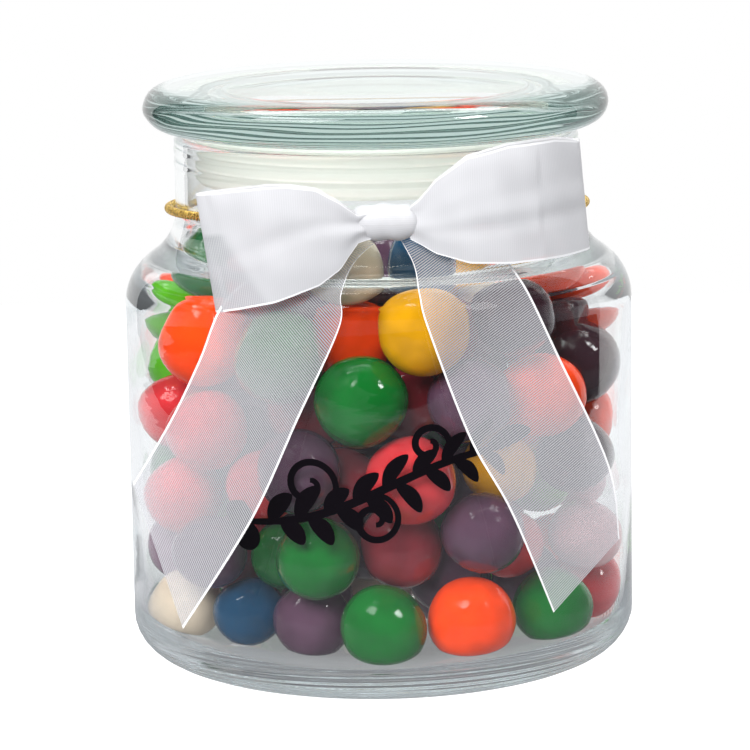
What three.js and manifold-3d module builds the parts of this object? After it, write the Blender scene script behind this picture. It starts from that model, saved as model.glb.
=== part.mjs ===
// A glass candy jar with its glass stopper lid in place, filled with fruit sours, with a gold
// elastic cord round the neck that carries an organza ribbon tied in a bow.
// Millimetres, +Z up. The origin is the centre of the flat base, the bow is on the -Y side.

import * as THREE from 'three';
import { mergeVertices } from 'three/addons/utils/BufferGeometryUtils.js';
import Module from 'manifold-3d';

const manifold = await Module();
manifold.setup();

// ---- driving dimensions ---------------------------------------------------------------------

const CLEARANCE = 0.3;            // between pieces that touch
const JOIN_TOLERANCE = 0.005;     // corners closer than this are one
const ROUND_SEGMENTS = 38;        // facets round the jar, lid and seal

const BODY_RADIUS = 50.8;         // a four inch jar
const HEEL_RADIAL = 8.8;          // the rounding under the body wall
const HEEL_HEIGHT = 8.1;
const SHOULDER_START = 71.05;     // top of the straight wall
const SHOULDER_RADIUS = 11.27;
const FILLET_RADIUS = 11.7;       // where the shoulder turns up into the neck
const NECK_RADIUS = 40.15;
const RIM_TOP = 104.6;
const LIP_ROUNDING = 1.1;
const BODY_WALL = 1.8;
const NECK_WALL = 2.3;
const FLOOR_THICKNESS = 4.4;
const INNER_HEEL = 6.5;

const LID_BOTTOM = 106.05;
const LID_THICKNESS = 8.2;
const LID_RADIUS = 46.28;
const LID_EDGE_RADIAL = 4.6;
const PLUG_OUTER = 34.2;
const PLUG_INNER = 30.6;
const PLUG_BOTTOM = 96.9;

const SEAL_OUTER = 35.7;
const SEAL_BOTTOM = 95.6;
const SEAL_FLANGE_RADIUS = 39.2;
const SEAL_THICKNESS = 0.85;

const CANDY_RADIUS = 8.25;
const CANDY_SPREAD = 0.04;        // share by which their sizes differ
const CANDY_ROWS = 5;
const CANDIES_IN_ROW = 14;
const ROW_STEP = 14.6;
const CORE_INSET = 4.4;           // how far the candies stand out of the heap's core
const HEAP_TOP_LEFT = 85.5;       // the heap lies a little higher on the left
const HEAP_TOP_RIGHT = 79.5;
const TOP_RINGS = [[27.5, 10], [14.5, 6], [0, 1]];  // radius and number of candies of each
const TOP_RING_TURN = 0.4;        // share of a step by which each ring is turned
const TOP_RISE = 2.2;             // how unevenly the top candies lie
const SIZE_WAVES = 7;             // round the jar, so that no two neighbours are alike
const SIZE_SHIFT = 2.3;           // and from row to row
const CORE_SEGMENTS = 20;
const CORE_SHOULDER = 14;         // how far the core draws in at its top
const CORE_SHOULDER_RISE = 9;
const CORE_TOP_SHARE = 0.9;       // of a candy's radius, from the core's top to the heap's
const FACET_SAG = 0.18;           // how far a flat facet stands inside the true round wall

const CORD_DIAMETER = 1.8;
const CORD_LOOP_RADIUS = 41.5;
const CORD_HEIGHT = 89.8;
const CORD_DROP_TO_BACK = 2.6;    // the loop hangs lower at the back than at the bow
const CORD_LIFT_AT_KNOT = 1.65;   // the ribbon's knot holds the cord off the glass
const CORD_LIFT_SPREAD = 20;      // degrees round the neck over which it comes back to the glass
const CORD_OFF_CENTRE = 0.3;      // the loop sits a little to the back
const CORD_SIDES = 7;

// The shoulder's arc runs straight on into the fillet, which sets its sweep and the neck's foot.
const SHOULDER_TO_NECK = SHOULDER_RADIUS + FILLET_RADIUS;
const SHOULDER_SWEEP = Math.acos(1 - (BODY_RADIUS - NECK_RADIUS) / SHOULDER_TO_NECK);
const NECK_START = SHOULDER_START + SHOULDER_TO_NECK * Math.sin(SHOULDER_SWEEP);

const RIBBON_THICKNESS = 0.8;
const KNOT_CENTRE = new THREE.Vector3(2.8, -44.15, 92.9);
const KNOT_HALF = new THREE.Vector3(7.2, 3.55, 3.6);
const KNOT_SQUARENESS = 0.7;      // 1 is an egg, less is nearer a box
const LOOP_STEPS = 15;
const TAIL_STEPS = 9;
const CHANNEL_EXTRA = 0.05;       // keeps the gap to the cord on its flat facets too

// ---- helpers --------------------------------------------------------------------------------

function toSolid(geometry) {
  const bare = geometry.clone();
  bare.deleteAttribute('normal');
  bare.deleteAttribute('uv');
  const merged = mergeVertices(bare, 1e-4);
  const mesh = new manifold.Mesh({
    numProp: 3,
    vertProperties: new Float32Array(merged.attributes.position.array),
    triVerts: new Uint32Array(merged.index.array),
  });
  return new manifold.Manifold(mesh);
}

// Corners closer than the join's tolerance become one, and slivers between them go.
function fromSolid(solid) {
  const mesh = solid.getMesh();
  const geometry = new THREE.BufferGeometry();
  geometry.setAttribute('position', new THREE.BufferAttribute(mesh.vertProperties, 3));
  geometry.setIndex(new THREE.BufferAttribute(mesh.triVerts, 1));
  const merged = mergeVertices(geometry, JOIN_TOLERANCE);
  const corners = merged.index.array;
  const kept = [];
  for (let i = 0; i < corners.length; i += 3) {
    const [a, b, c] = corners.slice(i, i + 3);
    if (a !== b && b !== c && c !== a) kept.push(a, b, c);
  }
  merged.setIndex(kept);
  return merged;
}

function moveVertices(geometry, place) {
  const position = geometry.attributes.position;
  const point = new THREE.Vector3();
  for (let i = 0; i < position.count; i += 1) {
    point.fromBufferAttribute(position, i);
    const moved = place(point);
    position.setXYZ(i, moved.x, moved.y, moved.z);
  }
  return geometry;
}

// The points of an arc in a profile's plane, ends included.
function arc(centreR, centreZ, radiusR, radiusZ, from, to, steps) {
  const points = [];
  for (let i = 0; i <= steps; i += 1) {
    const angle = from + (to - from) * (i / steps);
    const r = centreR + radiusR * Math.cos(angle);
    const z = centreZ + radiusZ * Math.sin(angle);
    points.push(new THREE.Vector2(r, z));
  }
  return points;
}

// A solid of revolution about Z from a closed (radius, height) profile.
function turned(profile, segments = ROUND_SEGMENTS) {
  const closed = [...profile, profile[0].clone()];
  return new THREE.LatheGeometry(closed, segments).rotateX(Math.PI / 2);
}

function piece(name, geometry, look) {
  const mesh = new THREE.Mesh(geometry, new THREE.MeshStandardMaterial(look));
  mesh.name = name;
  return mesh;
}

// A smooth value between listed (key, value) pairs, as a fair curve through them.
function along(pairs, key) {
  const last = pairs.length - 1;
  if (key <= pairs[0][0]) return pairs[0][1];
  if (key >= pairs[last][0]) return pairs[last][1];
  const i = pairs.findIndex((pair) => pair[0] > key);
  const [k0, v0] = pairs[i - 1];
  const [k1, v1] = pairs[i];
  return v0 + (v1 - v0) * THREE.MathUtils.smoothstep(key, k0, k1);
}

// ---- jar ------------------------------------------------------------------------------------

// The shoulder and the fillet above it, offset inwards by the wall's thickness.
function shoulderProfile(wall, steps) {
  const sweep = SHOULDER_SWEEP;
  const shoulderCentre = BODY_RADIUS - SHOULDER_RADIUS;
  const shoulder = arc(shoulderCentre, SHOULDER_START, SHOULDER_RADIUS - wall,
    SHOULDER_RADIUS - wall, 0, sweep, steps);
  const fillet = arc(NECK_RADIUS + FILLET_RADIUS, NECK_START, FILLET_RADIUS + wall,
    FILLET_RADIUS + wall, Math.PI + sweep, Math.PI, steps);
  return [...shoulder, ...fillet];
}

function makeJar() {
  const outerHeel = arc(BODY_RADIUS - HEEL_RADIAL, HEEL_HEIGHT, HEEL_RADIAL, HEEL_HEIGHT,
    -Math.PI / 2, 0, 4);
  const lipCentre = NECK_RADIUS - LIP_ROUNDING;
  const lip = arc(lipCentre, RIM_TOP - LIP_ROUNDING, LIP_ROUNDING, LIP_ROUNDING,
    0, Math.PI / 2, 2);
  const neckInner = NECK_RADIUS - NECK_WALL;
  const innerLip = [new THREE.Vector2(neckInner, RIM_TOP)];
  const inside = shoulderProfile(BODY_WALL, 3).reverse();
  const innerWall = BODY_RADIUS - BODY_WALL;
  const innerHeel = arc(innerWall - INNER_HEEL, FLOOR_THICKNESS + INNER_HEEL, INNER_HEEL,
    INNER_HEEL, 0, -Math.PI / 2, 3);
  const profile = [
    new THREE.Vector2(0, 0),
    ...outerHeel,
    ...shoulderProfile(0, 3),
    ...lip,
    ...innerLip,
    ...inside,
    ...innerHeel,
    new THREE.Vector2(0, FLOOR_THICKNESS),
  ];
  return piece('jar', turned(profile), {
    color: 0xdfe8e4, roughness: 0.05, metalness: 0, transparent: true, opacity: 0.35,
  });
}

// ---- lid and its seal -----------------------------------------------------------------------

function makeLid() {
  const half = LID_THICKNESS / 2;
  const edge = arc(LID_RADIUS - LID_EDGE_RADIAL, LID_BOTTOM + half, LID_EDGE_RADIAL, half,
    -Math.PI / 2, Math.PI / 2, 6);
  const profile = [
    new THREE.Vector2(0, LID_BOTTOM),
    new THREE.Vector2(PLUG_INNER, LID_BOTTOM),
    new THREE.Vector2(PLUG_INNER, PLUG_BOTTOM),
    new THREE.Vector2(PLUG_OUTER, PLUG_BOTTOM),
    new THREE.Vector2(PLUG_OUTER, LID_BOTTOM),
    ...edge,
    new THREE.Vector2(0, LID_BOTTOM + LID_THICKNESS),
  ];
  return piece('lid', turned(profile), {
    color: 0xc4d9d2, roughness: 0.05, metalness: 0, transparent: true, opacity: 0.5,
  });
}

function makeLidSeal() {
  const innerRadius = PLUG_OUTER + CLEARANCE;
  const flangeTop = LID_BOTTOM - CLEARANCE;
  const flangeBottom = flangeTop - SEAL_THICKNESS;
  const profile = [
    new THREE.Vector2(innerRadius, SEAL_BOTTOM),
    new THREE.Vector2(SEAL_OUTER, SEAL_BOTTOM),
    new THREE.Vector2(SEAL_OUTER, flangeBottom),
    new THREE.Vector2(SEAL_FLANGE_RADIUS, flangeBottom),
    new THREE.Vector2(SEAL_FLANGE_RADIUS, flangeTop),
    new THREE.Vector2(innerRadius, flangeTop),
  ];
  return piece('lid_seal', turned(profile), {
    color: 0xe4e6e0, roughness: 0.35, metalness: 0, transparent: true, opacity: 0.6,
  });
}

// ---- the heap of sours ----------------------------------------------------------------------

// The inside radius of the glass at a height, from the floor up into the neck.
function insideRadius(height) {
  const points = shoulderProfile(BODY_WALL, 12);
  const pairs = points.map((point) => [point.y, point.x]);
  const i = pairs.findIndex((pair) => pair[0] > height);
  if (i < 0) return NECK_RADIUS - NECK_WALL;
  if (i === 0) return BODY_RADIUS - BODY_WALL;
  const [z0, r0] = pairs[i - 1];
  const [z1, r1] = pairs[i];
  return r0 + (r1 - r0) * ((height - z0) / (z1 - z0));
}

// How far from the middle a ball's centre can be at a height, with the glass clear of it.
function reachInside(height, size) {
  const samples = 12;
  let reach = Infinity;
  for (let i = 0; i <= samples; i += 1) {
    const rise = size * Math.sin((i / samples - 0.5) * Math.PI);
    const overhang = Math.sqrt(Math.max(0, size ** 2 - rise ** 2));
    reach = Math.min(reach, insideRadius(height + rise) - overhang);
  }
  return reach - CLEARANCE - FACET_SAG;
}

function heapTop(x) {
  const share = (x + BODY_RADIUS) / (2 * BODY_RADIUS);
  return THREE.MathUtils.lerp(HEAP_TOP_LEFT, HEAP_TOP_RIGHT, share);
}

// The candies that show, as (x, y, z, radius): rows against the wall, rings across the top.
function shownCandies() {
  const candies = [];
  const firstRow = FLOOR_THICKNESS + CLEARANCE + CANDY_RADIUS * (1 + CANDY_SPREAD);
  for (let row = 0; row < CANDY_ROWS; row += 1) {
    for (let i = 0; i < CANDIES_IN_ROW; i += 1) {
      const angle = ((i + (row % 2) / 2) / CANDIES_IN_ROW) * 2 * Math.PI;
      const uneven = Math.sin(SIZE_WAVES * angle + SIZE_SHIFT * row);
      const size = CANDY_RADIUS * (1 + CANDY_SPREAD * uneven);
      const height = firstRow + row * ROW_STEP + (row > 0 ? uneven : 0);
      const reach = reachInside(height, size);
      candies.push([reach * Math.cos(angle), reach * Math.sin(angle), height, size]);
    }
  }
  for (const [ring, count] of TOP_RINGS) {
    for (let i = 0; i < count; i += 1) {
      const angle = ((i + TOP_RING_TURN) / count) * 2 * Math.PI;
      const x = ring * Math.cos(angle);
      const rise = TOP_RISE * Math.sin(3 * angle + ring);
      const height = heapTop(x) - CANDY_RADIUS + rise;
      candies.push([x, ring * Math.sin(angle), height, CANDY_RADIUS]);
    }
  }
  return candies;
}

function makeSours() {
  const coreBottom = FLOOR_THICKNESS + CLEARANCE;
  const coreRadius = BODY_RADIUS - BODY_WALL - CORE_INSET;
  const topRadius = coreRadius - CORE_SHOULDER;
  const coreTop = HEAP_TOP_RIGHT - CORE_TOP_SHARE * CANDY_RADIUS;
  const core = toSolid(turned([
    new THREE.Vector2(0, coreBottom),
    new THREE.Vector2(coreRadius - INNER_HEEL, coreBottom),
    new THREE.Vector2(coreRadius, coreBottom + INNER_HEEL),
    new THREE.Vector2(coreRadius, coreTop - CORE_SHOULDER_RISE),
    new THREE.Vector2(topRadius, coreTop),
    new THREE.Vector2(0, coreTop),
  ], CORE_SEGMENTS));
  const balls = shownCandies().map(([x, y, z, size], index) => {
    const ball = new THREE.OctahedronGeometry(size, 1);
    return toSolid(ball.rotateZ(index).rotateX(2 * index).translate(x, y, z));
  });
  const heap = balls.reduce((sum, ball) => sum.add(ball), core);
  return piece('sours', fromSolid(heap), { color: 0xc8452e, roughness: 0.25, metalness: 0 });
}

// ---- gold elastic cord ----------------------------------------------------------------------

// The loop follows the neck, dips to the back, and stands off the glass at the knot.
function cordLoop(tubeRadius) {
  const ring = new THREE.TorusGeometry(CORD_LOOP_RADIUS, tubeRadius, CORD_SIDES, ROUND_SEGMENTS);
  const spread = THREE.MathUtils.degToRad(CORD_LIFT_SPREAD);
  ring.rotateZ(Math.PI / ROUND_SEGMENTS);
  return moveVertices(ring, (point) => {
    const radius = Math.hypot(point.x, point.y);
    const angle = Math.atan2(point.y, point.x);
    const fromFront = Math.abs(angle + Math.PI / 2) / spread;
    const lift = CORD_LIFT_AT_KNOT * Math.exp(-(fromFront ** 2));
    const back = CORD_OFF_CENTRE * Math.sin(angle);
    const scale = (radius + lift + back) / radius;
    const height = CORD_HEIGHT + point.z - CORD_DROP_TO_BACK * Math.sin(angle);
    return new THREE.Vector3(point.x * scale, point.y * scale, height);
  });
}

function makeElasticCord() {
  return piece('elastic_cord', cordLoop(CORD_DIAMETER / 2), {
    color: 0xb8892f, roughness: 0.35, metalness: 0.8,
  });
}

// ---- ribbon bow -----------------------------------------------------------------------------

function bentCurve(points) {
  const list = points.map(([x, y, z]) => new THREE.Vector3(x, y, z));
  return new THREE.CatmullRomCurve3(list, false, 'centripetal');
}

// One loop of the bow: a band that leaves the knot, folds back at the end and returns. Its
// plan is drawn from above; middle and half height follow the distance from the knot.
function bowLoop(plan, middle, halfHeight) {
  const path = bentCurve(plan.map(([x, y]) => [x, y, 0]));
  const outer = [];
  const inner = [];
  for (let i = 0; i <= LOOP_STEPS; i += 1) {
    const point = path.getPoint(i / LOOP_STEPS);
    const ahead = path.getTangent(i / LOOP_STEPS);
    const side = new THREE.Vector2(-ahead.y, ahead.x).multiplyScalar(RIBBON_THICKNESS / 2);
    outer.push(new THREE.Vector2(point.x + side.x, point.y + side.y));
    inner.push(new THREE.Vector2(point.x - side.x, point.y - side.y));
  }
  const band = new THREE.Shape([...outer, ...inner.reverse()]);
  const upright = new THREE.ExtrudeGeometry(band, { depth: 2, steps: 1, bevelEnabled: false });
  return moveVertices(upright.translate(0, 0, -1), (point) => {
    const reach = Math.abs(point.x - KNOT_CENTRE.x);
    const height = along(middle, reach) + point.z * along(halfHeight, reach);
    return new THREE.Vector3(point.x, point.y, height);
  });
}

// A strip of ribbon between its two edges, each a curve from the knot to the cut end.
function ribbonStrip(leftEdge, rightEdge) {
  const left = bentCurve(leftEdge);
  const right = bentCurve(rightEdge);
  const strip = new THREE.BoxGeometry(1, 1, 1, 3, 1, TAIL_STEPS);
  return moveVertices(strip, (point) => {
    const across = point.x + 0.5;
    const down = 0.5 - point.z;
    const middle = left.getPoint(down).lerp(right.getPoint(down), across);
    return middle.setY(middle.y + point.y * RIBBON_THICKNESS);
  });
}

function makeKnot() {
  const roll = new THREE.SphereGeometry(1, 16, 10);
  const boxy = (value) => Math.sign(value) * Math.abs(value) ** KNOT_SQUARENESS;
  return moveVertices(roll, (point) => new THREE.Vector3(
    KNOT_CENTRE.x + KNOT_HALF.x * boxy(point.x),
    KNOT_CENTRE.y + KNOT_HALF.y * boxy(point.z),
    KNOT_CENTRE.z - KNOT_HALF.z * boxy(point.y),
  ));
}

function makeRibbonBow() {
  const leftLoop = bowLoop(
    [[0, -46.4], [-9, -49.4], [-20, -50.2], [-29, -46.6], [-32.4, -43.4], [-29, -43.2],
      [-20, -46.2], [-9, -46.9], [0, -45.2]],
    [[3, 92.6], [9, 90.2], [14, 89.6], [23, 89.4], [35, 87.4]],
    [[3, 2.9], [6, 3.2], [9, 6.3], [14, 9], [23, 10.9], [35, 11.3]],
  );
  const rightLoop = bowLoop(
    [[6, -45.2], [13, -46.2], [25, -43.8], [34, -38.4], [38.6, -35], [38.2, -38.4],
      [30, -46.2], [19, -49.6], [6, -46.4]],
    [[3, 92.8], [6, 92.9], [14, 95], [27, 96.1], [36, 96.7]],
    [[3, 2.9], [6, 3.6], [14, 9.5], [27, 11], [36, 11]],
  );
  const leftTail = ribbonStrip(
    [[-0.5, -43.8, 90.2], [-20, -44.5, 84.6], [-28.8, -45, 78.5], [-34, -46.6, 67.6],
      [-39.6, -47.2, 56.5], [-46.9, -46, 43.8]],
    [[3, -43.8, 91.4], [-4, -45, 86], [-6.8, -47.8, 80], [-7.6, -51, 74],
      [-15.5, -52.6, 57.2], [-24.6, -53, 38.2], [-37.8, -52.2, 17]],
  );
  const rightTail = ribbonStrip(
    [[3, -43.8, 91.4], [6.3, -44.8, 85], [7.6, -47.8, 79.5], [9.2, -51, 73.4],
      [16.6, -52.6, 52.8], [24.2, -53, 38.8], [31.9, -52.2, 19.2]],
    [[6.4, -43.8, 90.8], [20, -44.4, 88], [26.6, -45.4, 82], [33.6, -46.6, 67.6],
      [43, -45.8, 46.2], [44.9, -45.2, 31.6]],
  );
  const parts = [makeKnot(), leftLoop, rightLoop, leftTail, rightTail].map(toSolid);
  const channel = toSolid(cordLoop(CORD_DIAMETER / 2 + CLEARANCE + CHANNEL_EXTRA));
  const whole = parts.reduce((sum, part) => sum.add(part)).subtract(channel);
  return piece('ribbon_bow', fromSolid(whole), {
    color: 0xf3f4f8, roughness: 0.7, metalness: 0, transparent: true, opacity: 0.7,
  });
}

// ---- the whole jar --------------------------------------------------------------------------

const jarOfSours = new THREE.Group();
jarOfSours.add(
  makeJar(),
  makeLid(),
  makeLidSeal(),
  makeSours(),
  makeElasticCord(),
  makeRibbonBow(),
);

export default jarOfSours;
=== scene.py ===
import math

import bmesh
import bpy
import numpy as np
from mathutils import Matrix, Vector


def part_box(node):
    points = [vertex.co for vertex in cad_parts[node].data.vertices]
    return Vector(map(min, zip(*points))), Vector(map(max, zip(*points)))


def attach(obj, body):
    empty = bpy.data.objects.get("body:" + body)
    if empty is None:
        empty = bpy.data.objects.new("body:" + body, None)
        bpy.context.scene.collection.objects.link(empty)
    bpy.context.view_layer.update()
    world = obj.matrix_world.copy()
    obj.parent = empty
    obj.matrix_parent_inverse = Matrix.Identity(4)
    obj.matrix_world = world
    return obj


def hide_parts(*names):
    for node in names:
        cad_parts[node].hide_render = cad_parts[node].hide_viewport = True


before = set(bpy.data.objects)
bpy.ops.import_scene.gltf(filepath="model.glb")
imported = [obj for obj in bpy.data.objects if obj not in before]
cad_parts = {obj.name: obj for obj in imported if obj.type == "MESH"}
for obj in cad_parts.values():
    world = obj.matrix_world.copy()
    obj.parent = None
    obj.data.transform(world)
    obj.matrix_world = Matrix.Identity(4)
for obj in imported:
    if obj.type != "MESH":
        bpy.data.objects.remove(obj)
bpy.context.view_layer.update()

# --------------------------------------------------
# The jar: one body of clear soda glass, pressed in a mould, with a thick flat base, a straight
# wall and a shoulder that turns up into a wide neck. Two faint ridges run round the neck, fine
# tool marks round the heel, and the bore is a little wavy, as pressed glass is.

MM = 0.001
jar_low, jar_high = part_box("jar")
jar_radius = (jar_high[0] - jar_low[0]) / 2
jar_rim = jar_high[2]
heel_radial = 8.8 * MM
heel_height = 8.1 * MM
heel_mark = 0.15 * MM
heel_mark_pitch = 1.5 * MM
shoulder_start = 71.05 * MM
shoulder_radius = 11.27 * MM
fillet_radius = 11.7 * MM
neck_radius = 40.15 * MM
neck_wall = 2.3 * MM
lip_rounding = 1.1 * MM
bore_lip_rounding = 0.7 * MM
ridge_heights = (101.7 * MM, 99.0 * MM)
ridge_rise = 0.16 * MM
ridge_half = 0.35 * MM
body_wall = 1.8 * MM
bore_radius = jar_radius - body_wall
bore_sweep = math.radians(77)
bore_shoulder_radius = 6.5 * MM
bore_shoulder_start = 74.3 * MM
bore_wave = 0.10 * MM
bore_wave_end = shoulder_start + 6 * MM
floor_thickness = 4.4 * MM
inner_heel = 6.5 * MM
base_hollow = 0.5 * MM
foot_radius = 38 * MM
hair = 0.01 * MM
round_steps = 192
glass_index = 1.5


def arc(centre, radii, start, end, steps):
    """Points (radius, height) along part of an ellipse, for the outline of a turned piece."""
    angles = np.linspace(start, end, steps + 1)
    return [(centre[0] + radii[0] * math.cos(a), centre[1] + radii[1] * math.sin(a)) for a in angles]


def straight(start, end, steps):
    """Points between two corners of an outline, without the corners themselves."""
    shares = np.linspace(0, 1, steps + 1)[1:-1]
    return [tuple(np.array(start) + (np.array(end) - np.array(start)) * s) for s in shares]


def finished(name, points, faces, smooth=True, loops=None):
    """A mesh object at the origin; loops is an optional list of UVs, one for each face corner."""
    mesh = bpy.data.meshes.new(name)
    mesh.from_pydata([tuple(p) for p in points], [], faces)
    if loops is not None:
        layer = mesh.uv_layers.new(name="UVMap")
        layer.data.foreach_set("uv", np.array(loops, dtype=np.float32).ravel())
    mesh.polygons.foreach_set("use_smooth", [smooth] * len(mesh.polygons))
    mesh.update()
    piece = bpy.data.objects.new(name, mesh)
    bpy.context.scene.collection.objects.link(piece)
    return piece


def face_outwards(piece):
    """Turn every face of a closed piece outwards."""
    form = bmesh.new()
    form.from_mesh(piece.data)
    bmesh.ops.recalc_face_normals(form, faces=form.faces)
    form.to_mesh(piece.data)
    form.free()
    return piece


def turned(name, outline, steps=round_steps, wave=None):
    """A closed body turned about Z. A point of the outline on the axis becomes a pole."""
    angles = np.arange(steps) * 2 * math.pi / steps
    points, rings, faces = [], [], []
    for radius, height in outline:
        if radius < 1e-6:
            rings.append([len(points)] * steps)
            points.append((0, 0, height))
            continue
        spread = np.full(steps, radius) if wave is None else radius + wave(radius, height, angles)
        rings.append(list(range(len(points), len(points) + steps)))
        points.extend(zip(spread * np.cos(angles), spread * np.sin(angles), np.full(steps, height)))
    count = len(rings)
    closed = outline[0][0] > 1e-6
    for i in range(count if closed else count - 1):
        lower, upper = rings[i], rings[(i + 1) % count]
        for j in range(steps):
            k = (j + 1) % steps
            corners = [lower[j], lower[k], upper[k], upper[j]]
            faces.append(list(dict.fromkeys(corners)))
    return face_outwards(finished(name, points, faces))


def shoulder(wide, narrow, start, radius, sweep, steps):
    """An outline that turns in from the wide radius and up again into the narrow one."""
    fillet = (wide - narrow) / (1 - math.cos(sweep)) - radius
    end = start + (radius + fillet) * math.sin(sweep)
    first = arc((wide - radius, start), (radius, radius), 0, sweep, steps)
    second = arc((narrow + fillet, end), (fillet, fillet), math.pi + sweep, math.pi, steps)
    return first + second[1:]


def ridged(height):
    """The radius of the neck, with its two ridges."""
    bumps = sum(math.exp(-((height - at) / ridge_half) ** 2) for at in ridge_heights)
    return neck_radius + ridge_rise * bumps


foot = [(0, base_hollow), (foot_radius * 0.5, base_hollow), (foot_radius, base_hollow * 0.9)]
foot += [(foot_radius + 1.2 * MM, base_hollow * 0.35)]
heel_centre = (jar_radius - heel_radial, heel_height)
heel = arc(heel_centre, (heel_radial, heel_height), -math.pi / 2, 0, steps=84)
sweep = math.acos(1 - (jar_radius - neck_radius) / (shoulder_radius + fillet_radius))
outer = shoulder(jar_radius, neck_radius, shoulder_start, shoulder_radius, sweep, steps=20)
neck_heights = np.linspace(outer[-1][1], jar_rim - lip_rounding, 34)[1:]
neck = [(ridged(h), h) for h in neck_heights]
lip_centre = (neck_radius - lip_rounding, jar_rim - lip_rounding)
lip = arc(lip_centre, (lip_rounding, lip_rounding), 0, math.pi / 2, steps=6)[1:]
bore_lip_centre = (neck_radius - neck_wall + bore_lip_rounding, jar_rim - bore_lip_rounding)
bore_lip = arc(bore_lip_centre, (bore_lip_rounding, bore_lip_rounding), math.pi / 2, math.pi, steps=5)
bore_neck = [(neck_radius - neck_wall, h) for h in neck_heights[::-3]]
bore_shoulder = shoulder(bore_radius, neck_radius - neck_wall, bore_shoulder_start,
                         bore_shoulder_radius, bore_sweep, steps=24)[::-1]
bore_heel_centre = (bore_radius - inner_heel, floor_thickness + inner_heel)
bore_wall = straight((bore_radius, bore_shoulder_start), (bore_radius, bore_heel_centre[1]), steps=24)
bore_heel = arc(bore_heel_centre, (inner_heel, inner_heel), 0, -math.pi / 2, steps=16)
bore = bore_neck + bore_shoulder + bore_wall + bore_heel
bore += [(bore_radius * s, floor_thickness) for s in (0.7, 0.5, 0.3, 0.12, 0)]
body_side = straight(heel[-1], outer[0], steps=12)
jar_outline = foot + heel + body_side + outer + neck + lip + bore_lip + bore


def mould_wave(radius, height, angles):
    """Small waves in the bore and fine tool marks round the heel; the rest is truly round."""
    if radius < bore_radius + hair and floor_thickness - hair < height < bore_wave_end:
        stronger_below = 1 + 1.5 * math.exp(-((height - 12 * MM) / (9 * MM)) ** 2)
        wave = np.sin(3 * angles + 90 * height + 1.1) + 0.7 * np.sin(7 * angles - 140 * height)
        wave = wave + 0.5 * np.sin(260 * height + 2 * angles)
        still_at_axis = min(1, radius / bore_radius) ** 4
        return bore_wave * stronger_below * wave * still_at_axis - 1.6 * bore_wave
    if radius > foot_radius + 2 * MM and height < heel_height:
        up = math.atan2(height - heel_height, radius - jar_radius + heel_radial) * heel_radial
        marks = np.sin(2 * math.pi * up / heel_mark_pitch + 2.2 * np.sin(2 * angles + 1))
        patches = 0.6 + 0.4 * np.sin(3 * angles + 0.7 + up / (2 * MM))
        return heel_mark * marks * patches * min(1, (heel_height - height) / MM)
    return 0 * angles


def feed(tree, socket, value):
    """Give an input a plain value, an output of another node, or a node for its first output."""
    if isinstance(value, bpy.types.Node):
        value = value.outputs[0]
    if isinstance(value, bpy.types.NodeSocket):
        tree.links.new(value, socket)
    else:
        socket.default_value = value


def add(tree, kind, inputs=(), **settings):
    """A new node with its settings, and what feeds each of its named or numbered inputs."""
    made = tree.nodes.new(kind)
    for key, value in settings.items():
        setattr(made, key, value)
    for key, value in dict(inputs).items():
        feed(tree, made.inputs[key], value)
    return made


def material(name):
    """An empty material, its tree, and the inputs of its output node."""
    made = bpy.data.materials.new(name)
    made.use_nodes = True
    tree = made.node_tree
    tree.nodes.clear()
    return made, tree, tree.nodes.new("ShaderNodeOutputMaterial").inputs


def place_in(tree, space):
    """The place of each point of a surface, or a ray's direction in the world, in a space."""
    return add(tree, "ShaderNodeTexCoord").outputs[space]


def ripple(tree, scale, height, stretch=(1, 1, 1), detail=2.0):
    """Noise in object space, squeezed by stretch, and the relief that it makes."""
    squeezed = add(tree, "ShaderNodeMapping", {"Vector": place_in(tree, "Object"), "Scale": stretch})
    noise = add(tree, "ShaderNodeTexNoise", {"Vector": squeezed, "Scale": scale,
                                             "Detail": detail, "Roughness": 0.5})
    bump = add(tree, "ShaderNodeBump", {"Strength": 1.0, "Distance": height, "Height": noise})
    return noise, bump


def about_ray(tree, name):
    """What the renderer knows of a ray by this name."""
    return add(tree, "ShaderNodeLightPath").outputs[name]


def clear_glass(name, tint, shadow, wave_height, wave_scale, stretch, roughness=0.0, clearness=1.0):
    """Glass that lets light straight through to what it holds, with slow waves in its surface."""
    made, tree, output = material(name)
    _, relief = ripple(tree, wave_scale, wave_height, stretch)
    glass = add(tree, "ShaderNodeBsdfPrincipled", {
        "Base Color": tint, "Roughness": roughness, "IOR": glass_index,
        "Transmission Weight": clearness, "Normal": relief})
    through = add(tree, "ShaderNodeBsdfTransparent", {"Color": shadow})
    blend = add(tree, "ShaderNodeMixShader", {
        "Fac": about_ray(tree, "Is Shadow Ray"), 1: glass, 2: through})
    feed(tree, output["Surface"], blend)
    return made, tree, output


jar = turned("jar_glass", jar_outline, wave=mould_wave)
jar_glass, tree, output = clear_glass(
    "jar_glass", tint=(0.985, 0.995, 0.99, 1), shadow=(1, 1, 1, 1), wave_height=0.02 * MM,
    wave_scale=60, stretch=(1, 1, 4))
soda = add(tree, "ShaderNodeVolumeAbsorption", {"Color": (0.60, 0.66, 0.68, 1), "Density": 18.0})

# The glass shines very faintly from within. This stands for the light that goes round and round
# in thick glass, which would otherwise be lost and leave the ends of the shoulder black.
trapped = add(tree, "ShaderNodeEmission", {"Color": (0.94, 0.97, 1.0, 1), "Strength": 2.2})
body = add(tree, "ShaderNodeAddShader", {0: soda, 1: trapped})
feed(tree, output["Volume"], body)
jar.data.materials.append(jar_glass)
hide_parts("jar")
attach(jar, "root")

# --------------------------------------------------
# The printed sprig: a leafy stem with tendrils in thin black enamel, screened on the front of the
# glass and slanting up to the right. Its points are in millimetres, round the glass and up.

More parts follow.
